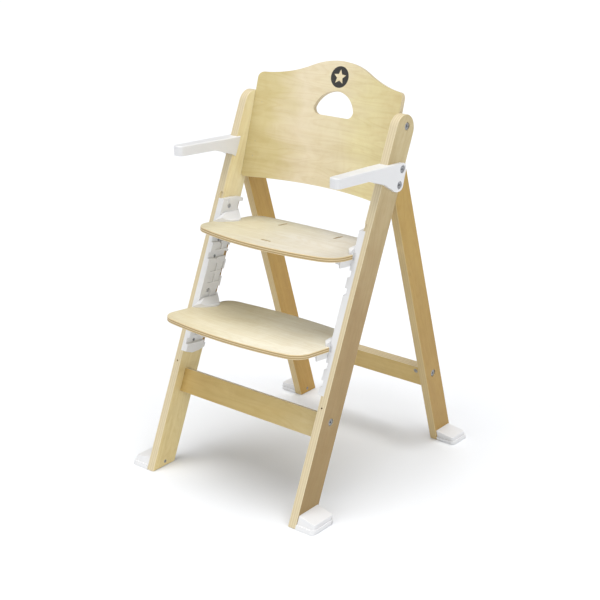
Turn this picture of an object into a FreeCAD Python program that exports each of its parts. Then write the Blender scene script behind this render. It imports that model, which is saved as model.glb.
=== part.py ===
"""Wooden baby high chair: two plywood A-frames, a bent-ply backrest, and a seat and a footrest
that hang in slotted plastic rails on the front legs.

Frame: millimetres, +Z up, -Y front, X across. The origin is on the floor, midway between the
left and right legs. "right" is +X, "left" is -X.
"""
import FreeCAD, Part
import math
import os

from FreeCAD import Placement, Rotation, Vector

os.makedirs("parts", exist_ok=True)

# ---- driving dimensions ------------------------------------------------------------------
LEG_INNER_X = 182.0            # inner face of every leg
LEG_THICKNESS = 18.0           # plywood of the legs and stretchers
LEG_OUTER_X = LEG_INNER_X + LEG_THICKNESS
LEG_MID_X = LEG_INNER_X + LEG_THICKNESS / 2
EDGE_ROUND = 1.2               # eased edges of the plywood

FRONT_LEG_Y = -280.0           # front edge of the front leg, at the floor
FRONT_LEAN = 23.07             # degrees that the front leg leans back
FRONT_WIDTH = 60.0             # across the front leg
FRONT_LENGTH = 829.0           # along the front leg, to the top of its rounded end

REAR_LEG_Y = 218.7             # front edge of the rear leg, at the floor
REAR_LEAN = -17.6              # degrees that the rear leg leans forwards
REAR_WIDTH = 52.0

LEG_END_Z = 0.5                # the legs' wooden ends stop just above the floor
FOOT_REACH = 43.5              # how far a foot stands out from the leg's outer face
FOOT_SOLE = 8.0                # height of the foot's wider lower part
FOOT_STEP = 3.0                # how far the upper part stands back from the sole
FOOT_HEIGHT = 24.0             # at the leg
FOOT_EDGE_HEIGHT = 16.5        # at the foot's outer edge

STRETCHER_HEIGHT = 50.0
FRONT_STRETCHER_S = 177.0      # lower edge, measured along the front leg
REAR_STRETCHER_S = 131.0       # lower edge, measured along the rear leg

PLATE_TILT = 6.0               # degrees that the seat and footrest fall towards the back
PLATE_THICKNESS = 10.0
PLATE_HALF_WIDTH = 179.0       # in front of the legs
PLATE_NECK = 168.0             # half width between the rails
SHOULDER_Y = -6.0              # where a plate narrows, just in front of the rails
PLATE_EDGE_ROUND = 1.5
SEAT_SLOT_S = 538.0            # where the seat's slot crosses the front leg's front edge
FOOTREST_SLOT_S = 354.5
SLOT_PITCH = 35.0
SLOT_HEIGHT = 13.2

RAIL_FLOOR_X = 179.5           # bottom of the slots
RAIL_FACE_X = 174.0            # inner face of the rail
RAIL_FLANGE_X = 188.5          # the rail's flange covers the leg's edge up to here
RAIL_FLANGE_DEPTH = 3.0
RUNNING_GAP = 0.3

BACK_SAG = 36.0                # how far the middle of the backrest stands behind its sides
BACK_THICKNESS = 10.0
BACK_HALF_WIDTH = LEG_INNER_X - 0.2
BACK_SLOPE = 0.30              # backwards per unit up
BACK_Y = 42.0                  # front of the backrest's side edge at BACK_Z
BACK_Z = 675.0

ARM_INNER_X = LEG_INNER_X - 3.0
ARM_TIP_INNER_X = LEG_INNER_X + 3.0
ARM_OUTER_X = LEG_OUTER_X + 8.0
ARM_WRAP_DEPTH = 8.5           # how far the armrest's flange covers the leg's inner face

BOLT_HEAD_RADIUS = 6.8
BOLT_HEAD_HEIGHT = 2.5
BOLT_SET = 1.4                 # how deep a head sits in its counterbore
COUNTERBORE_RADIUS = 8.0
BOLT_RADIUS = 3.0
BARREL_RADIUS = 5.0
DOWEL_RADIUS = 4.0
SCREW_RADIUS = 1.75
SCREW_HEAD_RADIUS = 3.6

X_AXIS = Vector(1, 0, 0)
Y_AXIS = Vector(0, 1, 0)
Z_AXIS = Vector(0, 0, 1)
BIG = 2000.0

# ---- frames ------------------------------------------------------------------------------
# In a leg's own frame X is across the chair, Y runs from the leg's front edge to its back
# edge, and Z runs up along the leg.
FRONT_FRAME = Placement(Vector(0, FRONT_LEG_Y, 0), Rotation(X_AXIS, -FRONT_LEAN))
REAR_FRAME = Placement(Vector(0, REAR_LEG_Y, 0), Rotation(X_AXIS, -REAR_LEAN))


def placed(shape, frame):
    """A copy of a shape drawn in a frame, moved to the chair's frame."""
    copy = shape.copy()
    copy.Placement = frame.multiply(copy.Placement)
    return copy


def plate_frame(slot_s):
    """Frame of a plate: Y runs back along its slope, Z = 0 is its top, Y = 0 is above its slot's mouth."""
    mouth = FRONT_FRAME.multVec(Vector(0, 0, slot_s))
    turn = Rotation(X_AXIS, -PLATE_TILT)
    up = turn.multVec(Z_AXIS)
    return Placement(mouth + up * (PLATE_THICKNESS / 2), turn)


SEAT_FRAME = plate_frame(SEAT_SLOT_S)
FOOTREST_FRAME = plate_frame(FOOTREST_SLOT_S)


# ---- small shape helpers -----------------------------------------------------------------
def box(x0, x1, y0, y1, z0, z1):
    return Part.makeBox(x1 - x0, y1 - y0, z1 - z0, Vector(x0, y0, z0))


def rod(radius, length, start, direction):
    return Part.makeCylinder(radius, length, start, direction)


def mirrored(shape):
    return shape.mirror(Vector(0, 0, 0), X_AXIS)


def prism(points, direction):
    """Closed polygon of points, swept along a direction."""
    wire = Part.makePolygon(points + [points[0]])
    return Part.Face(wire).extrude(direction)


def side_prism(yz_points, x0, x1):
    """Polygon in the YZ plane, swept from x0 to x1."""
    points = [Vector(x0, y, z) for y, z in yz_points]
    return prism(points, Vector(x1 - x0, 0, 0))


def plan_prism(xy_points, z0, z1):
    """Polygon in the XY plane, swept from z0 to z1."""
    points = [Vector(x, y, z0) for x, y in xy_points]
    return prism(points, Vector(0, 0, z1 - z0))


def eased(shape, radius, wanted):
    """Fillet the edges that wanted(edge) picks."""
    edges = [edge for edge in shape.Edges if wanted(edge)]
    return shape.makeFillet(radius, edges)


def fused(shapes):
    return shapes[0].fuse(shapes[1:]).removeSplitter()


def without(shape, tools):
    return shape.cut(Part.makeCompound(tools)) if tools else shape


def group(shapes):
    return Part.makeCompound(shapes)


def arc(a, b, c):
    return Part.Arc(a, b, c).toShape()


def line(a, b):
    return Part.LineSegment(a, b).toShape()


def export(name, shape):
    """Write one node, and stop if any of its solids is broken."""
    for solid in shape.Solids:
        if not solid.isValid() or solid.Volume <= 0:
            raise ValueError("broken solid in " + name)
    shape.exportStep("parts/" + name + ".step")


# ---- fasteners ---------------------------------------------------------------------------
def joint_bolt(seat, direction, length, tip_length=0.0, tip_radius=2.25):
    """Flat-headed furniture bolt. 'seat' is the middle of its counterbore's mouth."""
    top = seat + direction * BOLT_SET
    pieces = [rod(BOLT_HEAD_RADIUS, BOLT_HEAD_HEIGHT, top, direction)]
    pieces.append(rod(BOLT_RADIUS, length - BOLT_SET, top, direction))
    if tip_length:
        pieces.append(rod(tip_radius, length + tip_length - BOLT_SET, top, direction))
    bolt = fused(pieces)
    socket_points = []
    side = direction.cross(Z_AXIS if abs(direction.z) < 0.9 else X_AXIS).normalize()
    other = direction.cross(side)
    for corner in range(6):
        angle = math.radians(60 * corner)
        spoke = side * (2.3 * math.cos(angle)) + other * (2.3 * math.sin(angle))
        socket_points.append(top + spoke)
    return bolt.cut(prism(socket_points, direction * 2.0))


def bolt_envelope(seat, direction, length, radius=COUNTERBORE_RADIUS):
    """Counterbore and hole of a bolt."""
    counterbore = rod(radius, BOLT_SET + BOLT_HEAD_HEIGHT, seat, direction)
    return fused([counterbore, rod(BOLT_RADIUS, length, seat, direction)])


def flat_screw(seat, direction, length):
    """Countersunk cross-head screw whose head is flush with the point 'seat'."""
    cone = Part.makeCone(SCREW_HEAD_RADIUS, SCREW_RADIUS, 2.2, seat, direction)
    shank = rod(SCREW_RADIUS, length, seat, direction)
    screw = fused([cone, shank])
    side = direction.cross(Z_AXIS if abs(direction.z) < 0.9 else X_AXIS).normalize()
    other = direction.cross(side)
    slots = []
    for along, across in ((side, other), (other, side)):
        corners = [(-1.9, -0.4), (1.9, -0.4), (1.9, 0.4), (-1.9, 0.4)]
        slots.append(prism([seat + along * a + across * b for a, b in corners], direction * 1.2))
    return screw.cut(fused(slots))


def screw_envelope(seat, direction, length):
    cone = Part.makeCone(SCREW_HEAD_RADIUS, SCREW_RADIUS, 2.2, seat, direction)
    return fused([cone, rod(SCREW_RADIUS, length, seat, direction)])


# ---- where the fasteners go --------------------------------------------------------------
def back_front_y(z):
    """Y of the front of the backrest's side edge at a height."""
    return BACK_Y + BACK_SLOPE * (z - BACK_Z)


BACK_BOLT_INSET = 8.85         # keeps a straight bolt inside the curved panel's edge
BACK_BOLT_TIP = 17.0
TOP_BOLT_Z = 729.0
ARM_BOLT_Z = (650.0, 620.0)


def back_bolt_seat(z, x):
    return Vector(x, back_front_y(z) + BACK_BOLT_INSET, z)


TOP_BOLT_SEAT = back_bolt_seat(TOP_BOLT_Z, LEG_OUTER_X)
ARM_BOLT_SEATS = [back_bolt_seat(z, ARM_OUTER_X) for z in ARM_BOLT_Z]

FRONT_BOLT = FRONT_FRAME.multVec(Vector(LEG_OUTER_X, FRONT_WIDTH / 2, FRONT_STRETCHER_S + 38))
FRONT_DOWEL = FRONT_FRAME.multVec(Vector(0, FRONT_WIDTH / 2, FRONT_STRETCHER_S + 13))
REAR_BOLT = REAR_FRAME.multVec(Vector(LEG_OUTER_X, REAR_WIDTH / 2, REAR_STRETCHER_S + 38))
REAR_DOWEL = REAR_FRAME.multVec(Vector(0, REAR_WIDTH / 2, REAR_STRETCHER_S + 13))
STRETCHER_BOLT_LENGTH = 48.0
STRETCHER_BARREL_X = LEG_INNER_X - 21.0

JOINT_S = 709.0                # the bolt between the two legs of one side
JOINT_BOLT_LENGTH = FRONT_WIDTH + 21.0
JOINT_BARREL_W = FRONT_WIDTH + 13.0
JOINT_DOWEL_S = (668.0, 683.0)

RAIL_SCREW_W = 21.0
RAIL_SCREW_S = (579.0, 505.0, 470.0, 397.0, 289.0)
JOINT_SEAT = FRONT_FRAME.multVec(Vector(LEG_MID_X, 0, JOINT_S))
SLOT_RISE = math.tan(math.radians(FRONT_LEAN - PLATE_TILT))


def front_direction(vector):
    return FRONT_FRAME.Rotation.multVec(vector)


def leg_joint_hole():
    """Hole of the bolt between two legs. Its mouth is narrower, as the leg's edge is."""
    return bolt_envelope(JOINT_SEAT, front_direction(Y_AXIS), JOINT_BOLT_LENGTH, BOLT_HEAD_RADIUS)


def leg_joint_barrel():
    centre = FRONT_FRAME.multVec(Vector(LEG_INNER_X + 1.0, JOINT_BARREL_W, JOINT_S))
    return rod(BARREL_RADIUS, LEG_THICKNESS - 4.0, centre, X_AXIS)


def leg_joint_dowels():
    dowels = []
    for s in JOINT_DOWEL_S:
        start = FRONT_FRAME.multVec(Vector(LEG_MID_X, FRONT_WIDTH - 18, s))
        dowels.append(rod(DOWEL_RADIUS, 32.0, start, front_direction(Y_AXIS)))
    return dowels


def stretcher_dowel(centre):
    return rod(DOWEL_RADIUS, 32.0, Vector(LEG_INNER_X - 20, centre.y, centre.z), X_AXIS)


def stretcher_barrel(bolt_seat, into):
    """Cross dowel in a stretcher, at right angles to its bolt, flush with the face it is set into."""
    centre = Vector(STRETCHER_BARREL_X, bolt_seat.y, bolt_seat.z)
    return rod(BARREL_RADIUS, LEG_THICKNESS - 1.0, centre - into * (LEG_THICKNESS / 2), into)


FRONT_BARREL = stretcher_barrel(FRONT_BOLT, FRONT_FRAME.Rotation.multVec(-Y_AXIS))
REAR_BARREL = stretcher_barrel(REAR_BOLT, REAR_FRAME.Rotation.multVec(Y_AXIS))


def rail_screw_points():
    return [FRONT_FRAME.multVec(Vector(RAIL_FLOOR_X, RAIL_SCREW_W, s)) for s in RAIL_SCREW_S]


FOOT_SCREWS = {
    "front": Vector(LEG_INNER_X, -243.0, 10.0),
    "rear": Vector(LEG_INNER_X, 241.0, 10.0),
}
FOOT_SCREW_LENGTH = LEG_THICKNESS + 14.0
RAIL_SCREW_LENGTH = 16.0


# ---- legs --------------------------------------------------------------------------------
PILOT_RADIUS = 2.0
PILOT_DEPTH = 12.0
PILOT_S = 239.0                # small hole in the front leg's front edge


def is_long(edge):
    return edge.Length > 300


def front_leg():
    radius = FRONT_WIDTH / 2
    bar = box(LEG_INNER_X, LEG_OUTER_X, 0, FRONT_WIDTH, -60, FRONT_LENGTH - radius)
    end = rod(radius, LEG_THICKNESS, Vector(LEG_INNER_X, radius, FRONT_LENGTH - radius), X_AXIS)
    leg = eased(fused([bar, end]), EDGE_ROUND, is_long)
    rebate = box(LEG_INNER_X, RAIL_FLANGE_X, 0, RAIL_FLANGE_DEPTH, RAIL_BOTTOM, RAIL_TOP)
    leg = leg.cut(rebate)
    leg = placed(leg, FRONT_FRAME)
    leg = leg.cut(box(-BIG, BIG, -BIG, BIG, -BIG, LEG_END_Z))
    pilot = FRONT_FRAME.multVec(Vector(LEG_MID_X, 0, PILOT_S))
    holes = [leg_joint_hole(), rod(PILOT_RADIUS, PILOT_DEPTH, pilot, front_direction(Y_AXIS))]
    holes += leg_joint_dowels()
    holes.append(bolt_envelope(TOP_BOLT_SEAT, -X_AXIS, LEG_THICKNESS + 1))
    holes += [rod(BOLT_RADIUS, LEG_THICKNESS + 9, seat, -X_AXIS) for seat in ARM_BOLT_SEATS]
    holes.append(bolt_envelope(FRONT_BOLT, -X_AXIS, STRETCHER_BOLT_LENGTH))
    holes.append(stretcher_dowel(FRONT_DOWEL))
    holes += [screw_envelope(p, X_AXIS, RAIL_SCREW_LENGTH) for p in rail_screw_points()]
    holes.append(screw_envelope(FOOT_SCREWS["front"], X_AXIS, FOOT_SCREW_LENGTH))
    return without(leg, holes)


def rear_leg():
    bar = box(LEG_INNER_X, LEG_OUTER_X, 0, REAR_WIDTH, -60, 760)
    leg = placed(eased(bar, EDGE_ROUND, is_long), REAR_FRAME)
    leg = leg.cut(box(-BIG, BIG, -BIG, BIG, -BIG, LEG_END_Z))
    in_front = placed(box(-BIG, BIG, -BIG, FRONT_WIDTH, -BIG, BIG), FRONT_FRAME)
    leg = leg.cut(in_front)
    holes = [leg_joint_hole(), leg_joint_barrel()]
    holes += leg_joint_dowels()
    holes.append(bolt_envelope(REAR_BOLT, -X_AXIS, STRETCHER_BOLT_LENGTH))
    holes.append(stretcher_dowel(REAR_DOWEL))
    holes.append(screw_envelope(FOOT_SCREWS["rear"], X_AXIS, FOOT_SCREW_LENGTH))
    return without(leg, holes)


# ---- stretchers --------------------------------------------------------------------------
def stretcher(frame, width, low_s, bolt, dowel, barrel):
    """Rail between two legs, centred in their width, parallel to them."""
    front = (width - LEG_THICKNESS) / 2
    board = box(-LEG_INNER_X, LEG_INNER_X, front, front + LEG_THICKNESS, low_s, low_s + STRETCHER_HEIGHT)
    board = placed(eased(board, EDGE_ROUND, is_long), frame)
    holes = [
        bolt_envelope(bolt, -X_AXIS, STRETCHER_BOLT_LENGTH),
        stretcher_dowel(dowel),
        barrel,
    ]
    return without(board, holes + [mirrored(hole) for hole in holes])


# ---- feet --------------------------------------------------------------------------------
def foot_slab(frame, width, inset, low, high):
    """Slice of a foot, with the two outer corners rounded."""
    x_end = LEG_OUTER_X + FOOT_REACH - inset
    slab = placed(box(LEG_OUTER_X, x_end, inset - 0.5, width + 0.5 - inset, -60, 60), frame)
    slab = slab.common(box(-BIG, BIG, -BIG, BIG, low, high))

    def outer_upright(edge):
        return edge.BoundBox.XMin > x_end - 0.1 and edge.BoundBox.ZLength > (high - low) * 0.8

    return eased(slab, 9.0 - inset, outer_upright)


def foot(frame, width, screw):
    """Plastic foot beside the end of a leg: a low sole, and a sloping block set back on it."""
    x_end = LEG_OUTER_X + FOOT_REACH
    sole = foot_slab(frame, width, 0, 0, FOOT_SOLE)
    block = foot_slab(frame, width, FOOT_STEP, 0, FOOT_HEIGHT + 2)
    above = [
        Vector(LEG_OUTER_X - 1, -BIG, FOOT_HEIGHT),
        Vector(x_end, -BIG, FOOT_EDGE_HEIGHT),
        Vector(x_end, -BIG, BIG),
        Vector(LEG_OUTER_X - 1, -BIG, BIG),
    ]
    block = block.cut(prism(above, Vector(0, 2 * BIG, 0)))
    block = eased(block, 1.5, lambda edge: edge.BoundBox.ZMin > FOOT_SOLE + 2
                  and edge.BoundBox.XMax > LEG_OUTER_X + 1 and edge.BoundBox.ZLength < FOOT_SOLE + 1)
    return fused([sole, block]).cut(screw_envelope(screw, X_AXIS, FOOT_SCREW_LENGTH))


# ---- slotted rail ------------------------------------------------------------------------
RAIL_BOTTOM = 262.0
RAIL_TOP = 604.0
RAIL_OUTLINE = [(0, 262), (20, 262), (40, 270), (60, 282), (60, 604), (45, 604), (22, 598), (0, 590)]
RAIL_LIP = [(14, 587), (54, 596), (54, 604), (45, 604), (22, 598), (14, 594.9)]
RAIL_LIP_RAISE = 2.5
TOOTH_LENGTH = 54.0            # the teeth stop short of the leg's back edge
POCKET_DEPTH = 2.0
SLOTS = [top - SLOT_PITCH * step for top in (SEAT_SLOT_S, FOOTREST_SLOT_S) for step in range(3)]
NOTCHES = [(579, 596), (564, 573), (491, 500), (469, 486), (432, 448), (396, 411), (383, 391), (287, 297)]
NOTCH_W = 48.0
POCKETS = [(top - SLOT_PITCH * step, SLOT_PITCH - 21.0)
           for top in (SEAT_SLOT_S - SLOT_PITCH / 2, FOOTREST_SLOT_S - SLOT_PITCH / 2) for step in range(2)]
POCKETS += [(440.0, 18.0), (416.0, 18.0), (380.0, 18.0)]


def slanted(x0, x1, w0, w1, s_mid, height):
    """Bar across the rail that follows the slope of the slots."""
    low = s_mid - height / 2
    high = s_mid + height / 2
    outline = [(w0, low + SLOT_RISE * w0), (w1, low + SLOT_RISE * w1)]
    outline += [(w1, high + SLOT_RISE * w1), (w0, high + SLOT_RISE * w0)]
    return side_prism(outline, x0, x1)


def rail():
    body = side_prism(RAIL_OUTLINE, RAIL_FACE_X, LEG_INNER_X)
    body = body.cut(box(RAIL_FACE_X - 1, RAIL_FLOOR_X, TOOTH_LENGTH, 61, RAIL_BOTTOM - 1, NOTCHES[0][1]))
    flange = box(RAIL_FACE_X, RAIL_FLANGE_X, 0, RAIL_FLANGE_DEPTH, RAIL_BOTTOM, RAIL_TOP - 14)
    lip = side_prism(RAIL_LIP, RAIL_FACE_X - RAIL_LIP_RAISE, RAIL_FACE_X + 1)
    body = fused([body, flange, lip])
    open_height = SLOT_HEIGHT / math.cos(math.radians(FRONT_LEAN - PLATE_TILT))
    cuts = [slanted(RAIL_FACE_X - 1, RAIL_FLOOR_X, -2, 62, s, open_height) for s in SLOTS]
    cuts += [box(RAIL_FACE_X - 1, LEG_INNER_X + 1, NOTCH_W, 62, low, high) for low, high in NOTCHES]
    for s, height in POCKETS:
        for w0, w1 in ((12, 29), (32, 49)):
            cuts.append(slanted(RAIL_FACE_X - 1, RAIL_FACE_X + POCKET_DEPTH, w0, w1, s, height))
    for s in RAIL_SCREW_S:
        start = Vector(RAIL_FACE_X - 1, RAIL_SCREW_W, s)
        cuts.append(rod(5.0, RAIL_FLOOR_X - RAIL_FACE_X + 1, start, X_AXIS))
    body = without(body, cuts)
    body = placed(body, FRONT_FRAME)
    return without(body, [screw_envelope(p, X_AXIS, RAIL_SCREW_LENGTH) for p in rail_screw_points()])


# ---- seat and footrest -------------------------------------------------------------------
def plate(front_y, front_sag, front_corner, back_y, back_sag, back_corner, openings):
    """Board with a bowed front, a neck between the rails and a bowed back, in its own frame.
    Y = 0 is the mouth of the slot."""
    wide = PLATE_HALF_WIDTH
    neck = PLATE_NECK
    front_end = Vector(wide, front_y + front_sag, 0)
    shoulder = Vector(wide, SHOULDER_Y, 0)
    neck_start = Vector(neck, SHOULDER_Y, 0)
    back_end = Vector(neck, back_y - back_sag, 0)

    def flip(v):
        return Vector(-v.x, v.y, v.z)

    edges = [
        arc(flip(front_end), Vector(0, front_y, 0), front_end),
        line(front_end, shoulder),
        line(shoulder, neck_start),
        line(neck_start, back_end),
        arc(back_end, Vector(0, back_y, 0), flip(back_end)),
        line(flip(back_end), flip(neck_start)),
        line(flip(neck_start), flip(shoulder)),
        line(flip(shoulder), flip(front_end)),
    ]
    board = Part.Face(Part.Wire(edges)).extrude(Vector(0, 0, -PLATE_THICKNESS))

    def upright_at(y):
        return lambda edge: edge.BoundBox.ZLength > PLATE_THICKNESS - 0.1 and abs(edge.BoundBox.YMin - y) < 0.1

    board = eased(board, front_corner, upright_at(front_end.y))
    board = eased(board, back_corner, upright_at(back_end.y))
    board = eased(board, 2.0, upright_at(SHOULDER_Y))
    board = eased(board, PLATE_EDGE_ROUND, lambda edge: edge.BoundBox.ZLength < 0.01)
    return without(board, openings)


def strap_slot(x, y, length_x, length_y):
    """Slot with round ends, through a plate."""
    radius = min(length_x, length_y) / 2
    reach_x = length_x / 2 - radius
    reach_y = length_y / 2 - radius
    middle = box(x - max(reach_x, radius), x + max(reach_x, radius), y - max(reach_y, radius),
                 y + max(reach_y, radius), -PLATE_THICKNESS - 1, 1)
    ends = []
    for sign in (-1, 1):
        centre = Vector(x + sign * reach_x, y + sign * reach_y, -PLATE_THICKNESS - 1)
        ends.append(rod(radius, PLATE_THICKNESS + 2, centre, Z_AXIS))
    return fused([middle] + ends)


TONGUE_HEIGHT = SLOT_HEIGHT - 2 * RUNNING_GAP
TONGUE_LENGTH = 62.0
CHEEK_X = RAIL_FACE_X - RUNNING_GAP
CHEEK_APEX_X = 147.0
CHEEK_BACK = [(CHEEK_APEX_X, 33), (152, 47), (164, 57), (CHEEK_X, 62)]
UPPER_CHEEK = [(CHEEK_X, -12), (163, 0), (154, 14)] + CHEEK_BACK
LOWER_CHEEK = [(CHEEK_X, -38), (160, -36), (152, -22), (150, 0)] + CHEEK_BACK
GUSSET_HEIGHT = 16.0           # of the upper cheek, beside the rail
CHEEK_EDGE = 2.5               # of the upper cheek, at its tip
BRACKET_SCREWS = [(165.0, -30.0), (163.0, 38.0)]
BRACKET_SCREW_LENGTH = 15.0


def bracket_screw_seats():
    return [Vector(x, y, -PLATE_THICKNESS - 7.0) for x, y in BRACKET_SCREWS]


def bracket():
    """Plastic slide at each side of a plate: a tongue for the rail's slot, and a cheek above
    and below the plate. Drawn in the plate's frame."""
    low = -PLATE_THICKNESS / 2 - TONGUE_HEIGHT / 2
    tongue = box(PLATE_NECK, RAIL_FLOOR_X - RUNNING_GAP, 1, 1 + TONGUE_LENGTH, low, low + TONGUE_HEIGHT)
    upper = [
        Vector(CHEEK_X, -60, 0),
        Vector(CHEEK_X, -60, GUSSET_HEIGHT),
        Vector(CHEEK_X - 3, -60, GUSSET_HEIGHT),
        Vector(158, -60, CHEEK_EDGE + 1),
        Vector(CHEEK_APEX_X - 1, -60, CHEEK_EDGE),
        Vector(CHEEK_APEX_X - 1, -60, 0),
    ]
    lower = [
        Vector(CHEEK_X, -60, -PLATE_THICKNESS),
        Vector(CHEEK_X, -60, -PLATE_THICKNESS - 14),
        Vector(CHEEK_X - 3, -60, -PLATE_THICKNESS - 14),
        Vector(CHEEK_X - 5, -60, -PLATE_THICKNESS - 7),
        Vector(CHEEK_APEX_X - 1, -60, -PLATE_THICKNESS - 7),
        Vector(CHEEK_APEX_X - 1, -60, -PLATE_THICKNESS),
    ]
    cheeks = []
    for points, outline in ((upper, UPPER_CHEEK), (lower, LOWER_CHEEK)):
        footprint = plan_prism(outline, -BIG / 10, BIG / 10)
        cheeks.append(prism(points, Vector(0, 200, 0)).common(footprint))
    nose = [
        Vector(0, -60, CHEEK_EDGE),
        Vector(0, -12, CHEEK_EDGE + 1),
        Vector(0, 20, GUSSET_HEIGHT + 1),
        Vector(0, 20, 90),
        Vector(0, -60, 90),
    ]
    cheeks[0] = cheeks[0].cut(prism(nose, Vector(300, 0, 0)))
    web = box(PLATE_NECK, CHEEK_X, -4, 64, low, low + TONGUE_HEIGHT)
    body = fused([tongue, web] + cheeks)
    return without(body, [screw_envelope(p, Z_AXIS, BRACKET_SCREW_LENGTH) for p in bracket_screw_seats()])


def bracket_screws(frame):
    screws = [flat_screw(p, Z_AXIS, BRACKET_SCREW_LENGTH) for p in bracket_screw_seats()]
    screws = screws + [mirrored(screw) for screw in screws]
    return group([placed(screw, frame) for screw in screws])


def plate_screw_holes():
    holes = [screw_envelope(p, Z_AXIS, BRACKET_SCREW_LENGTH) for p in bracket_screw_seats()]
    return holes + [mirrored(hole) for hole in holes]


def seat_plate():
    slots = [strap_slot(0, -54, 24, 5.6)]
    slots += [strap_slot(side * 72, 88, 5, 30) for side in (-1, 1)]
    board = plate(-98, 33, 48, 126, 9, 34, slots + plate_screw_holes())
    return placed(board, SEAT_FRAME)


def footrest_plate():
    return placed(plate(-122, 22, 42, 108, 14, 26, plate_screw_holes()), FOOTREST_FRAME)


# ---- backrest ----------------------------------------------------------------------------
BACK_TILT = math.degrees(math.atan(BACK_SLOPE))
BACK_FRAME = Placement(Vector(0, BACK_Y, BACK_Z), Rotation(X_AXIS, -BACK_TILT))
BACK_RADIUS = (BACK_HALF_WIDTH ** 2 + BACK_SAG ** 2) / (2 * BACK_SAG)
BADGE_HEIGHT = 134.5           # centre of the badge along the panel
BADGE_RADIUS = 22.0
BADGE_DEPTH = 0.8
BADGE_STAR = 15.5              # radius of the star's points


def back_shell(front_offset, thickness):
    """Part of a cylinder, hollow side forwards, in the backrest's own frame."""
    centre = Vector(0, BACK_SAG - BACK_RADIUS, -150)
    inner = rod(BACK_RADIUS + front_offset, 400, centre, Z_AXIS)
    outer = rod(BACK_RADIUS + front_offset + thickness, 400, centre, Z_AXIS)
    return outer.cut(inner).common(box(-BACK_HALF_WIDTH, BACK_HALF_WIDTH, -20, 80, -150, 250))


def back_outline():
    """Front view of the panel: a raised middle, rounded shoulders, a slightly arched bottom."""
    half = BACK_HALF_WIDTH
    side_top = 107.0
    side_low = -92.0
    hump = Vector(68, 0, 151.5)
    shoulder = Vector(168, 0, 121.5)
    low_corner = Vector(half - 8, 0, side_low - 8)

    def flip(v):
        return Vector(-v.x, v.y, v.z)

    corner_mid = Vector(half - 4, 0, 117.5)
    low_mid = Vector(half - 2.4, 0, side_low - 5.7)
    slope_mid = Vector(114, 0, 132.5)
    edges = [
        arc(flip(hump), Vector(0, 0, 167), hump),
        arc(hump, slope_mid, shoulder),
        arc(shoulder, corner_mid, Vector(half, 0, side_top)),
        line(Vector(half, 0, side_top), Vector(half, 0, side_low)),
        arc(Vector(half, 0, side_low), low_mid, low_corner),
        arc(low_corner, Vector(0, 0, -90.5), flip(low_corner)),
        arc(flip(low_corner), flip(low_mid), Vector(-half, 0, side_low)),
        line(Vector(-half, 0, side_low), Vector(-half, 0, side_top)),
        arc(Vector(-half, 0, side_top), flip(corner_mid), flip(shoulder)),
        arc(flip(shoulder), flip(slope_mid), flip(hump)),
    ]
    return Part.Wire(edges)


def handle_outline():
    """Carrying hole: flat below, round above."""
    low = 54.0
    corner = 14.0
    half = 50.0
    mid = corner * math.cos(math.radians(45))
    left = Vector(-half, 0, low + corner)
    right = Vector(half, 0, low + corner)
    low_right = Vector(half - corner, 0, low)
    low_left = Vector(corner - half, 0, low)
    edges = [
        arc(left, Vector(0, 0, 105.5), right),
        arc(right, Vector(half - corner + mid, 0, low + corner - mid), low_right),
        line(low_right, low_left),
        arc(low_left, Vector(corner - half - mid, 0, low + corner - mid), left),
    ]
    return Part.Wire(edges)


def star_points(centre_z, outer, inner):
    """Corners of a plain five-pointed star in the panel's front view."""
    points = []
    for corner in range(10):
        radius = outer if corner % 2 == 0 else inner
        angle = math.radians(90 + 36 * corner)
        points.append(Vector(radius * math.cos(angle), -20, centre_z + radius * math.sin(angle)))
    return points


def badge_disc():
    disc = rod(BADGE_RADIUS, 100, Vector(0, -20, BADGE_HEIGHT), Y_AXIS)
    return back_shell(0, BADGE_DEPTH).common(disc)


def badge():
    star = prism(star_points(BADGE_HEIGHT, BADGE_STAR, BADGE_STAR * 0.46), Vector(0, 100, 0))
    return placed(badge_disc().cut(star), BACK_FRAME)


def backrest():
    outline = Part.Face(back_outline()).extrude(Vector(0, 100, 0))
    outline.translate(Vector(0, -20, 0))
    handle = Part.Face(handle_outline()).extrude(Vector(0, 100, 0))
    handle.translate(Vector(0, -20, 0))
    panel = back_shell(0, BACK_THICKNESS).common(outline).cut(handle)
    star = prism(star_points(BADGE_HEIGHT, BADGE_STAR, BADGE_STAR * 0.46), Vector(0, 100, 0))
    panel = panel.cut(badge_disc().cut(star))
    panel = placed(panel, BACK_FRAME)
    holes = []
    for bolt in [back_bolt(TOP_BOLT_SEAT, LEG_THICKNESS)] + arm_bolts():
        holes += [bolt, mirrored(bolt)]
    return without(panel, holes)


def back_bolt(seat, grip):
    return joint_bolt(seat, -X_AXIS, grip, BACK_BOLT_TIP)


def arm_bolts():
    return [back_bolt(seat, ARM_OUTER_X - LEG_INNER_X) for seat in ARM_BOLT_SEATS]


# ---- armrest -----------------------------------------------------------------------------
ARM_Y = 26.0                   # where the arm meets the leg
ARM_TIP_Y = ARM_Y - 190.0
ARM_TIP_TOP = 674.0
ARM_TOP_AT_LEG = 663.5
ARM_DEPTH = 20.5


def arm_top(y):
    return ARM_TOP_AT_LEG + (ARM_TIP_TOP - ARM_TOP_AT_LEG) * (y - ARM_Y) / (ARM_TIP_Y - ARM_Y)


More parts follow.
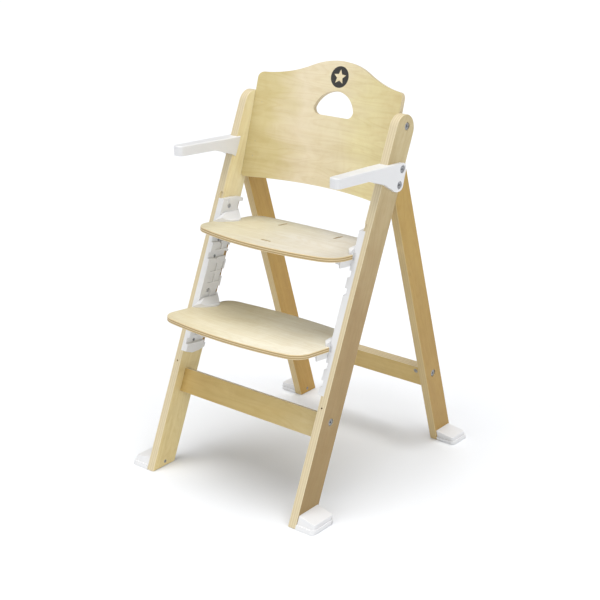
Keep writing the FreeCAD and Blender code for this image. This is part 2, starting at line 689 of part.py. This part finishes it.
def armrest():
    """Arm with a bracket that wraps the front leg: a plate on the leg's outer face, a short
    flange on its inner face, and a gusset in front of it."""
    upper, lower = ARM_BOLT_SEATS
    outline = [
        (ARM_TIP_Y, arm_top(ARM_TIP_Y)),
        (ARM_TIP_Y, arm_top(ARM_TIP_Y) - ARM_DEPTH),
        (ARM_Y - 90, arm_top(ARM_Y - 90) - ARM_DEPTH),
        (ARM_Y - 72, 641),
        (ARM_Y - 41, 631),
        (lower.y - 13.6, lower.z - 11.1),
        (lower.y, lower.z),
        (lower.y + 11.6, lower.z - 4.6),
        (upper.y + 11.6, upper.z - 4.6),
        (upper.y - 3, arm_top(upper.y - 3)),
    ]
    body = side_prism(outline, ARM_INNER_X, ARM_OUTER_X)
    taper = [(ARM_INNER_X - 1, ARM_Y - 60), (ARM_INNER_X, ARM_Y - 60), (ARM_TIP_INNER_X, ARM_TIP_Y - 1)]
    taper.append((ARM_INNER_X - 1, ARM_TIP_Y - 1))
    body = body.cut(plan_prism(taper, 500, 800))

    def tip_upright(edge):
        return edge.BoundBox.YMax < ARM_TIP_Y + 1 and edge.BoundBox.ZLength > 10

    def on_top(edge):
        middle = edge.valueAt((edge.FirstParameter + edge.LastParameter) / 2)
        return abs(middle.z - arm_top(middle.y)) < 0.05 and middle.y < upper.y

    body = eased(body, 9.0, tip_upright)
    body = eased(body, 2.5, on_top)
    lobes = []
    for seat in ARM_BOLT_SEATS + [lower - Y_AXIS * 7]:
        lobes.append(rod(12.5, ARM_OUTER_X - LEG_OUTER_X, Vector(LEG_OUTER_X, seat.y, seat.z), X_AXIS))
    body = fused([body] + lobes)
    leg = placed(box(-BIG, LEG_OUTER_X, 0, BIG, -BIG, BIG), FRONT_FRAME)
    inner_flange = placed(box(-BIG, LEG_INNER_X, -1, ARM_WRAP_DEPTH, -BIG, BIG), FRONT_FRAME)
    holes = [bolt_envelope(seat, -X_AXIS, 10) for seat in ARM_BOLT_SEATS]
    return without(body, [leg.cut(inner_flange)] + holes)


# ---- the nodes ---------------------------------------------------------------------------
def export_pair(name, shape):
    export(name + "_right", shape)
    export(name + "_left", mirrored(shape))


def main():
    export_pair("front_leg", front_leg())
    export_pair("rear_leg", rear_leg())
    front_stretcher = stretcher(FRONT_FRAME, FRONT_WIDTH, FRONT_STRETCHER_S, FRONT_BOLT, FRONT_DOWEL, FRONT_BARREL)
    rear_stretcher = stretcher(REAR_FRAME, REAR_WIDTH, REAR_STRETCHER_S, REAR_BOLT, REAR_DOWEL, REAR_BARREL)
    export("front_stretcher", front_stretcher)
    export("rear_stretcher", rear_stretcher)

    bolts = [joint_bolt(seat, -X_AXIS, STRETCHER_BOLT_LENGTH) for seat in (FRONT_BOLT, REAR_BOLT)]
    barrels = [barrel.cut(bolt) for barrel, bolt in zip((FRONT_BARREL, REAR_BARREL), bolts)]
    for name, bolt, barrel in zip(("front", "rear"), bolts, barrels):
        export(name + "_stretcher_bolts", group([bolt, mirrored(bolt)]))
        export(name + "_stretcher_barrel_nuts", group([barrel, mirrored(barrel)]))
    dowels = [stretcher_dowel(FRONT_DOWEL), stretcher_dowel(REAR_DOWEL)]
    export("stretcher_dowels", group(dowels + [mirrored(dowel) for dowel in dowels]))

    joint = joint_bolt(JOINT_SEAT, front_direction(Y_AXIS), JOINT_BOLT_LENGTH)
    joint_barrel = leg_joint_barrel().cut(joint)
    export("leg_joint_bolts", group([joint, mirrored(joint)]))
    export("leg_joint_barrel_nuts", group([joint_barrel, mirrored(joint_barrel)]))
    joint_dowels = leg_joint_dowels()
    export("leg_joint_dowels", group(joint_dowels + [mirrored(dowel) for dowel in joint_dowels]))

    front_foot = foot(FRONT_FRAME, FRONT_WIDTH, FOOT_SCREWS["front"])
    rear_foot = foot(REAR_FRAME, REAR_WIDTH, FOOT_SCREWS["rear"])
    export_pair("front_foot", front_foot)
    export_pair("rear_foot", rear_foot)
    foot_screws = [flat_screw(seat, X_AXIS, FOOT_SCREW_LENGTH) for seat in FOOT_SCREWS.values()]
    export("foot_screws", group(foot_screws + [mirrored(screw) for screw in foot_screws]))

    export_pair("rail", rail())
    rail_screws = [flat_screw(seat, X_AXIS, RAIL_SCREW_LENGTH) for seat in rail_screw_points()]
    export("rail_screws_right", group(rail_screws))
    export("rail_screws_left", group([mirrored(screw) for screw in rail_screws]))

    export("seat_plate", seat_plate())
    export("footrest_plate", footrest_plate())
    for name, frame in (("seat", SEAT_FRAME), ("footrest", FOOTREST_FRAME)):
        export_pair(name + "_bracket", placed(bracket(), frame))
        export(name + "_bracket_screws", bracket_screws(frame))

    export("backrest", backrest())
    export("backrest_badge", badge())
    top_bolt = back_bolt(TOP_BOLT_SEAT, LEG_THICKNESS)
    export("backrest_top_bolts", group([top_bolt, mirrored(top_bolt)]))
    export_pair("armrest", armrest())
    arms = arm_bolts()
    export("armrest_bolts", group(arms + [mirrored(bolt) for bolt in arms]))


main()
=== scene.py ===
import math

import bpy
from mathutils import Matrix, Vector

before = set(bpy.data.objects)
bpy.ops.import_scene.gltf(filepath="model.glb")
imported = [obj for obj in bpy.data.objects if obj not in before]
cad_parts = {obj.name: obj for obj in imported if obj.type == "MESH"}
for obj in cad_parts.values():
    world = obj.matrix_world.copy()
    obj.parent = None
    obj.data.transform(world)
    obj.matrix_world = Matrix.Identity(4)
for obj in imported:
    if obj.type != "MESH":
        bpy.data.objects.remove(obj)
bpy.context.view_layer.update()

# ---- where the wooden pieces lie, in metres and radians -----------------------------------
X, Y, Z = range(3)
LEG_LEAN = math.radians(23.07)
FRONT_LEG_Y = -0.280           # front edge of a front leg, at the floor
FRONT_LEG = (Vector((0, FRONT_LEG_Y, 0)), -LEG_LEAN)
FRONT_LEG_WIDTH = 0.060
REAR_LEG = (Vector((0, 0.2187, 0)), math.radians(17.6))
REAR_LEG_WIDTH = 0.052
LEG_MIDDLE_X = 0.191
BOARD_THICKNESS = 0.018        # of the legs and stretchers
PANEL_THICKNESS = 0.010        # of the seat, footrest and backrest
PLATE_TURN = math.radians(-6.0)
SEAT_SLOT = 0.538              # up the front leg's front edge
FOOTREST_SLOT = 0.3545
BACK = (Vector((0, 0.042, 0.675)), -math.atan(0.30))
BACK_SAG = 0.036
BACK_HALF_WIDTH = 0.1818
BACK_RADIUS = (BACK_HALF_WIDTH ** 2 + BACK_SAG ** 2) / (2 * BACK_SAG)

# The strip along the back of a front leg's inner face, in the leg's own frame, that the
# notches of the rail leave in sight.
BARE_INNER_X = 0.1825
BARE_FRONT = 0.0525
BARE_MIDDLE = 0.442
BARE_HALF_HEIGHT = 0.156

# ---- colours of the wood ------------------------------------------------------------------
# Tones are pairs: a distance along the grain, from the origin of the frame that the piece is
# drawn in, and the colour there.
# The right legs' tones are darker than the left legs': painted shade for the chair's shaded right side.
# Every leg's tone also grows darker towards the floor.
SHADED_RIGHT_LEG = [(0.05, (0.35, 0.24, 0.10)), (0.45, (0.40, 0.28, 0.13)), (0.83, (0.585, 0.49, 0.28))]
LEFT_LEG = [(0.05, (0.77, 0.64, 0.335)), (0.45, (0.79, 0.67, 0.38)), (0.83, (0.83, 0.75, 0.48))]
SHADED_REAR_RIGHT_LEG = [(0.05, (0.42, 0.265, 0.075)), (0.70, (0.48, 0.315, 0.08))]
REAR_LEFT_LEG = [(0.05, (0.51, 0.31, 0.075)), (0.70, (0.55, 0.345, 0.08))]
FRONT_BOARD = [(-0.18, (0.54, 0.385, 0.14)), (0.02, (0.58, 0.44, 0.18)), (0.18, (0.61, 0.50, 0.26))]
REAR_BOARD = [(-0.18, (0.61, 0.445, 0.175)), (0.18, (0.65, 0.485, 0.195))]
SEAT_TONES = [(-0.18, (0.67, 0.62, 0.45)), (-0.10, (0.68, 0.64, 0.485)), (0.03, (0.70, 0.67, 0.585)),
              (0.18, (0.70, 0.665, 0.595))]
# The footrest's tones grow paler towards its right side: painted light that offsets the shadow the seat
# casts on it.
FOOTREST_TONES_WITH_PAINTED_LIGHT = [(-0.18, (0.67, 0.60, 0.42)), (-0.08, (0.72, 0.66, 0.48)), (0.03, (0.80, 0.76, 0.62)),
                  (0.18, (0.82, 0.78, 0.66))]
BACK_TONES = [(-0.18, (0.60, 0.505, 0.25)), (-0.135, (0.62, 0.525, 0.27)), (-0.06, (0.755, 0.66, 0.475)),
              (0.02, (0.75, 0.66, 0.44)), (0.10, (0.77, 0.69, 0.40)), (0.18, (0.74, 0.64, 0.36))]
EDGE_CREAM = (0.69, 0.60, 0.40)
EDGE_GOLD = (0.62, 0.48, 0.24)
EDGE_BROWN = (0.42, 0.285, 0.135)
PLATE_EDGE = (0.74, 0.61, 0.36)
PLATE_LAYER = (0.34, 0.21, 0.075)
BARE_WOOD = (0.36, 0.215, 0.075)

# ---- light and camera ---------------------------------------------------------------------
WHITE = (1.0, 1.0, 1.0, 1)
SKY_STRENGTH = 0.20
FLOOR_COLOUR = (0.815, 0.83, 0.855, 1)
FLOOR_SIZE = 60
FLOOR_Z = -0.0005              # just under the feet
# name, direction the light comes from, how wide it is in degrees, strength
SUNS = (("top", (0.0, -0.04, 1.0), 46, 2.45),
        ("key", (-0.4, -1.0, 0.8), 55, 0.95),
        ("fill", (1.0, -0.2, 0.5), 55, 1.15))
EYE = (1.6298, -2.0526, 1.3141)
LOOK_AT = (-0.0323, 0.026, 0.3299)
LENS_MM = 80.6
SENSOR_MM = 36.0
FARTHEST = 200


# ---- node helper --------------------------------------------------------------------------
class Maker:
    """Builds one node material."""

    def __init__(self, name):
        self.material = bpy.data.materials.new(name)
        self.material.use_nodes = True
        self.tree = self.material.node_tree
        self.tree.nodes.clear()
        self.shader = self.tree.nodes.new("ShaderNodeBsdfPrincipled")
        out = self.tree.nodes.new("ShaderNodeOutputMaterial")
        self.tree.links.new(self.shader.outputs[0], out.inputs["Surface"])

    def node(self, kind, **settings):
        made = self.tree.nodes.new("ShaderNode" + kind)
        for key, value in settings.items():
            setattr(made, key, value)
        return made

    def link(self, source, target):
        self.tree.links.new(source, target)

    def feed(self, target, value):
        """Links a socket to the target, or sets a plain value on it."""
        if isinstance(value, bpy.types.NodeSocket):
            self.link(value, target)
        else:
            target.default_value = value

    def math(self, operation, a, b=0.0, c=0.0):
        made = self.node("Math", operation=operation)
        for index, value in enumerate((a, b, c)):
            self.feed(made.inputs[index], value)
        return made.outputs[0]

    def vector(self, operation, a, b=(0, 0, 0)):
        made = self.node("VectorMath", operation=operation)
        self.feed(made.inputs[0], a)
        self.feed(made.inputs[1], b)
        return made.outputs["Value" if operation in ("DOT_PRODUCT", "LENGTH") else "Vector"]

    def coords(self, output="Object"):
        return self.node("TexCoord").outputs[output]

    def local(self, origin, turn_x):
        """Object coordinates in a frame that is moved and turned about X."""
        coords = self.coords()
        mapping = self.node("Mapping", vector_type="TEXTURE")
        mapping.inputs["Location"].default_value = origin
        mapping.inputs["Rotation"].default_value = (turn_x, 0, 0)
        self.link(coords, mapping.inputs["Vector"])
        return mapping.outputs[0]

    def split(self, vector):
        made = self.node("SeparateXYZ")
        self.link(vector, made.inputs[0])
        return made.outputs

    def join(self, x, y, z):
        made = self.node("CombineXYZ")
        for index, value in enumerate((x, y, z)):
            self.feed(made.inputs[index], value)
        return made.outputs[0]

    def noise(self, vector, scale, detail=3.0, roughness=0.5, distortion=0.0):
        made = self.node("TexNoise")
        self.link(vector, made.inputs["Vector"])
        made.inputs["Scale"].default_value = scale
        made.inputs["Detail"].default_value = detail
        made.inputs["Roughness"].default_value = roughness
        made.inputs["Distortion"].default_value = distortion
        return made.outputs["Fac"]

    def ramp(self, factor, *stops):
        made = self.node("ValToRGB")
        elements = made.color_ramp.elements
        while len(elements) < len(stops):
            elements.new(0.5)
        for element, (position, colour) in zip(elements, stops):
            element.position = position
            element.color = (*colour, 1)
        self.link(factor, made.inputs[0])
        return made.outputs[0]

    def mix(self, factor, a, b, blend="MIX"):
        made = self.node("Mix", data_type="RGBA", blend_type=blend)
        self.feed(made.inputs[0], factor)
        for socket, value in ((made.inputs[6], a), (made.inputs[7], b)):
            self.feed(socket, value if isinstance(value, bpy.types.NodeSocket) else (*value, 1))
        return made.outputs[2]

    def colour(self, source):
        self.link(source, self.shader.inputs["Base Color"])

    def rough(self, marks, change, least):
        """Roughness that grows with some marks."""
        roughness = self.math("ADD", self.math("MULTIPLY", marks, change), least)
        self.link(roughness, self.shader.inputs["Roughness"])

    def bump(self, height, strength, distance):
        made = self.node("Bump")
        made.inputs["Strength"].default_value = strength
        made.inputs["Distance"].default_value = distance
        self.link(height, made.inputs["Height"])
        self.link(made.outputs[0], self.shader.inputs["Normal"])

    def set(self, **values):
        for key, value in values.items():
            self.shader.inputs[key.replace("_", " ")].default_value = value


def grey(value):
    return (value, value, value)


# ---- plywood ------------------------------------------------------------------------------
class Ply:
    """Where plywood's grain and layers lie, in the frame that the piece is drawn in. The methods
    give distances, and how squarely a surface faces along the layers' normal, as sockets of a
    Maker. 'middle' is how far out the middle layer lies, on either side of the frame's origin."""

    def __init__(self, frame_place, grain_axis, normal_axis, middle, thickness, plies):
        self.origin, self.turn_x = frame_place
        self.grain_axis = grain_axis
        self.normal_axis = normal_axis
        self.middle = middle
        self.thickness = thickness
        self.plies = plies

    def place(self, m):
        return m.split(m.local(self.origin, self.turn_x))

    def normal(self, m):
        mapping = m.node("Mapping", vector_type="TEXTURE")
        mapping.inputs["Rotation"].default_value = (self.turn_x, 0, 0)
        m.link(m.coords("Normal"), mapping.inputs["Vector"])
        return mapping.outputs[0]

    def along(self, m):
        return self.place(m)[self.grain_axis]

    def across(self, m):
        return self.place(m)[X + Y + Z - self.grain_axis - self.normal_axis]

    def through(self, m):
        return m.math("SUBTRACT", m.math("ABSOLUTE", self.place(m)[self.normal_axis]), self.middle)

    def facing(self, m):
        return m.math("ABSOLUTE", m.split(self.normal(m))[self.normal_axis])


class BentPly(Ply):
    """Plywood bent round an upright axis: its layers follow the curve, and 'middle' is how far
    from that axis the middle layer lies."""

    def spoke(self, m):
        axis = (0, BACK_SAG - BACK_RADIUS, 0)
        place = m.vector("SUBTRACT", m.local(self.origin, self.turn_x), axis)
        return m.vector("MULTIPLY", place, (1, 1, 0))

    def through(self, m):
        return m.math("SUBTRACT", m.vector("LENGTH", self.spoke(m)), self.middle)

    def facing(self, m):
        radial = m.vector("NORMALIZE", self.spoke(m))
        return m.math("ABSOLUTE", m.vector("DOT_PRODUCT", radial, self.normal(m)))


def plywood(name, ply, tones, seed, edge_light, edge_dark, layer_contrast, bare=None):
    """Birch plywood. 'tones' colour it along the grain; 'seed' shifts its figure; 'bare' is a
    function of a Maker that masks raw, unpolished wood."""
    m = Maker(name)
    along = ply.along(m)
    side = ply.across(m)
    deep = m.math("ADD", ply.through(m), seed)

    def grain_noise(along_scale, side_scale, deep_scale, detail, roughness, distortion=0.0):
        space = m.join(m.math("MULTIPLY", along, along_scale), m.math("MULTIPLY", side, side_scale),
                       m.math("MULTIPLY", deep, deep_scale))
        return m.noise(space, 1.0, detail, roughness, distortion)

    def shaded(wood, marks, *stops):
        return m.mix(1.0, wood, m.ramp(marks, *stops), "MULTIPLY")

    # face: a slow change of tone, soft blotches, growth rings, curly figure, streaks and pores
    start = tones[0][0]
    span = tones[-1][0] - start
    wobble = m.math("MULTIPLY", m.math("SUBTRACT", grain_noise(7, 16, 1, 2, 0.5), 0.5), 0.5)
    position = m.math("ADD", m.math("DIVIDE", m.math("SUBTRACT", along, start), span), wobble)
    wood = m.ramp(position, *[((distance - start) / span, colour) for distance, colour in tones])
    blotches = grain_noise(5, 24, 1, 3, 0.5, 0.6)
    wood = shaded(wood, blotches, (0.34, (0.955, 0.94, 0.91)), (0.62, grey(1.02)))
    height = grain_noise(3.2, 20, 1, 2, 0.45, 0.3)
    rings = m.math("SINE", m.math("MULTIPLY", height, 95.0))
    wood = shaded(wood, rings, (0.1, grey(1.0)), (0.95, (0.967, 0.948, 0.912)))
    curl = grain_noise(26, 16, 1, 3, 0.5, 1.8)
    wood = shaded(wood, curl, (0.40, (0.975, 0.965, 0.94)), (0.58, grey(1.0)))
    streaks = grain_noise(2.4, 95, 8, 4, 0.6, 0.5)
    wood = shaded(wood, streaks, (0.36, (0.95, 0.935, 0.90)), (0.60, grey(1.0)))
    pores = grain_noise(70, 900, 1, 2, 0.6)
    wood = shaded(wood, pores, (0.62, grey(1.0)), (0.76, (0.90, 0.87, 0.82)))
    if bare:
        wood = m.mix(bare(m), wood, BARE_WOOD)

    # edge: pale layers between layers of darker end grain, with thin glue lines
    wander = m.math("MULTIPLY", m.math("SUBTRACT", grain_noise(9, 9, 1, 2, 0.5), 0.5), 0.0004)
    depth = m.math("ADD", ply.through(m), wander)
    layer = m.math("ADD", m.math("MULTIPLY", depth, ply.plies / ply.thickness), ply.plies / 2)
    dark_layer = m.math("GREATER_THAN", m.math("FRACT", m.math("MULTIPLY", layer, 0.5)), 0.5)
    off_centre = m.math("ABSOLUTE", m.math("SUBTRACT", m.math("FRACT", layer), 0.5))
    glue = m.ramp(off_centre, (0.38, grey(0)), (0.47, grey(1)))
    glue_colour = tuple(value * 0.6 for value in edge_dark)
    fibre = grain_noise(40, 40, 700, 3, 0.6)
    edge = m.mix(m.math("MULTIPLY", dark_layer, layer_contrast), edge_light, edge_dark)
    edge = m.mix(m.math("MULTIPLY", fibre, 0.35 * layer_contrast), edge, edge_dark)
    edge = m.mix(m.math("MULTIPLY", glue, 0.75 * layer_contrast), edge, glue_colour)

    face_mask = m.ramp(ply.facing(m), (0.80, grey(0)), (0.92, grey(1)))
    m.colour(m.mix(face_mask, edge, wood))
    m.rough(streaks, 0.12, 0.42)
    m.bump(m.math("ADD", m.math("MULTIPLY", pores, 0.5), m.math("MULTIPLY", streaks, 0.5)), 0.18, 0.0004)
    m.set(IOR=1.42, Coat_Weight=0.08, Coat_Roughness=0.35)
    return m.material


def under_rail(m):
    """Masks the strip of a front leg that the notches of the rail leave in sight."""
    x, y, z = m.split(m.local(*FRONT_LEG))
    inner = m.math("LESS_THAN", m.math("ABSOLUTE", x), BARE_INNER_X)
    back = m.math("GREATER_THAN", y, BARE_FRONT)
    from_middle = m.math("ABSOLUTE", m.math("SUBTRACT", z, BARE_MIDDLE))
    height = m.math("LESS_THAN", from_middle, BARE_HALF_HEIGHT)
    return m.math("MULTIPLY", m.math("MULTIPLY", inner, back), height)


# ---- plastic, metal, print, dowels --------------------------------------------------------
def white_plastic():
    m = Maker("white_plastic")
    coords = m.coords()
    grain = m.noise(coords, 900.0, 3.0, 0.6)
    slow = m.noise(coords, 14.0, 2.0)
    m.colour(m.ramp(slow, (0.3, (0.725, 0.728, 0.735)), (0.7, (0.755, 0.755, 0.76))))
    m.rough(slow, 0.10, 0.30)
    m.bump(grain, 0.10, 0.0002)
    m.set(IOR=1.47)
    return m.material


def zinc():
    m = Maker("zinc_hardware")
    coords = m.coords()
    slow = m.noise(coords, 220.0, 3.0)
    fine = m.noise(coords, 1400.0, 2.0)
    m.colour(m.ramp(slow, (0.3, (0.22, 0.223, 0.23)), (0.7, (0.42, 0.425, 0.435))))
    m.rough(fine, 0.2, 0.28)
    m.bump(fine, 0.15, 0.0001)
    m.set(Metallic=1.0)
    return m.material


def black_print():
    m = Maker("badge_print")
    fine = m.noise(m.coords(), 700.0, 3.0)
    m.colour(m.ramp(fine, (0.3, (0.018, 0.017, 0.016)), (0.7, (0.035, 0.033, 0.03))))
    m.bump(fine, 0.2, 0.0001)
    m.set(Roughness=0.55)
    return m.material


def dowel_wood():
    m = Maker("beech_dowel")
    grain = m.noise(m.coords(), 240.0, 4.0)
    m.colour(m.ramp(grain, (0.3, (0.50, 0.32, 0.16)), (0.7, (0.62, 0.43, 0.24))))
    m.bump(grain, 0.2, 0.0003)
    m.set(Roughness=0.6)
    return m.material


# ---- materials on the CAD nodes -----------------------------------------------------------
def paint(material, *names):
    for name in names:
        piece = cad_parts[name]
        piece.data.materials.clear()
        piece.data.materials.append(material)
        for face in piece.data.polygons:
            face.material_index = 0


def paint_plywood(name, *look):
    paint(plywood("ply_" + name, *look), name)


def paint_legs():
    for name, place, tones, seed, edge, bare in (
            ("front_leg_right", FRONT_LEG, SHADED_RIGHT_LEG, 0.0, EDGE_CREAM, under_rail),
            ("front_leg_left", FRONT_LEG, LEFT_LEG, 1.7, EDGE_CREAM, under_rail),
            ("rear_leg_right", REAR_LEG, SHADED_REAR_RIGHT_LEG, 3.1, EDGE_GOLD, None),
            ("rear_leg_left", REAR_LEG, REAR_LEFT_LEG, 5.3, EDGE_GOLD, None)):
        ply = Ply(place, Z, X, LEG_MIDDLE_X, BOARD_THICKNESS, 7)
        paint_plywood(name, ply, tones, seed, edge, EDGE_BROWN, 0.24, bare)


def paint_stretchers():
    for name, place, leg_width, tones, seed in (
            ("front_stretcher", FRONT_LEG, FRONT_LEG_WIDTH, FRONT_BOARD, 6.1),
            ("rear_stretcher", REAR_LEG, REAR_LEG_WIDTH, REAR_BOARD, 7.9)):
        ply = Ply(place, X, Y, leg_width / 2, BOARD_THICKNESS, 9)
        paint_plywood(name, ply, tones, seed, EDGE_CREAM, EDGE_BROWN, 0.5)


def plate_middle(slot):
    """The point of a plate's middle layer where its slot crosses the front leg's front edge."""
    return Vector((0, FRONT_LEG_Y + slot * math.sin(LEG_LEAN), slot * math.cos(LEG_LEAN)))


def paint_plates():
    for name, slot, tones, seed in (("seat_plate", SEAT_SLOT, SEAT_TONES, 8.7),
                                    ("footrest_plate", FOOTREST_SLOT, FOOTREST_TONES_WITH_PAINTED_LIGHT, 9.4)):
        ply = Ply((plate_middle(slot), PLATE_TURN), X, Z, 0.0, PANEL_THICKNESS, 5)
        paint_plywood(name, ply, tones, seed, PLATE_EDGE, PLATE_LAYER, 0.8)


def paint_backrest():
    ply = BentPly(BACK, X, Y, BACK_RADIUS + PANEL_THICKNESS / 2, PANEL_THICKNESS, 7)
    paint_plywood("backrest", ply, BACK_TONES, 11.2, EDGE_CREAM, EDGE_BROWN, 0.4)


def paint_fittings():
    plastic = white_plastic()
    metal = zinc()
    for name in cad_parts:
        if any(word in name for word in ("_foot_", "rail_right", "rail_left", "armrest_right",
                                         "armrest_left", "bracket_right", "bracket_left")):
            paint(plastic, name)
        if any(word in name for word in ("bolts", "screws", "barrel_nuts")):
            paint(metal, name)
    paint(black_print(), "backrest_badge")
    paint(dowel_wood(), "stretcher_dowels", "leg_joint_dowels")


# ---- floor, light, camera -----------------------------------------------------------------
def light_sky():
    """Soft white light from all round, with plain white behind the chair."""
    world = bpy.data.worlds.new("studio")
    bpy.context.scene.world = world
    world.use_nodes = True
    nodes = world.node_tree.nodes
    links = world.node_tree.links
    soft = nodes["Background"]
    soft.inputs["Color"].default_value = WHITE
    soft.inputs["Strength"].default_value = SKY_STRENGTH
    paper = nodes.new("ShaderNodeBackground")
    paper.inputs["Color"].default_value = WHITE
    path = nodes.new("ShaderNodeLightPath")
    choose = nodes.new("ShaderNodeMixShader")
    links.new(path.outputs["Is Camera Ray"], choose.inputs[0])
    links.new(soft.outputs[0], choose.inputs[1])
    links.new(paper.outputs[0], choose.inputs[2])
    links.new(choose.outputs[0], nodes["World Output"].inputs["Surface"])


def lay_floor():
    bpy.ops.mesh.primitive_plane_add(size=FLOOR_SIZE, location=(0, 0, FLOOR_Z))
    floor = bpy.context.object
    floor.name = "floor"
    m = Maker("floor")
    m.set(Base_Color=FLOOR_COLOUR, Roughness=0.9, Specular_IOR_Level=0.1)
    floor.data.materials.append(m.material)


def hang_suns():
    for name, direction, width, strength in SUNS:
        light = bpy.data.lights.new(name, "SUN")
        light.angle = math.radians(width)
        light.energy = strength
        lamp = bpy.data.objects.new(name, light)
        lamp.rotation_euler = Vector(direction).to_track_quat("Z", "Y").to_euler()
        bpy.context.scene.collection.objects.link(lamp)


def place_camera():
    scene = bpy.context.scene
    lens = bpy.data.cameras.new("camera")
    lens.sensor_width = SENSOR_MM
    lens.lens = LENS_MM
    lens.clip_end = FARTHEST
    eye = bpy.data.objects.new("camera", lens)
    eye.location = EYE
    eye.rotation_euler = (Vector(LOOK_AT) - eye.location).to_track_quat("-Z", "Y").to_euler()
    scene.collection.objects.link(eye)
    scene.camera = eye


paint_legs()
paint_stretchers()
paint_plates()
paint_backrest()
paint_fittings()
bpy.context.scene.view_settings.view_transform = "Standard"
bpy.context.scene.view_settings.look = "None"
light_sky()
lay_floor()
hang_suns()
place_camera()
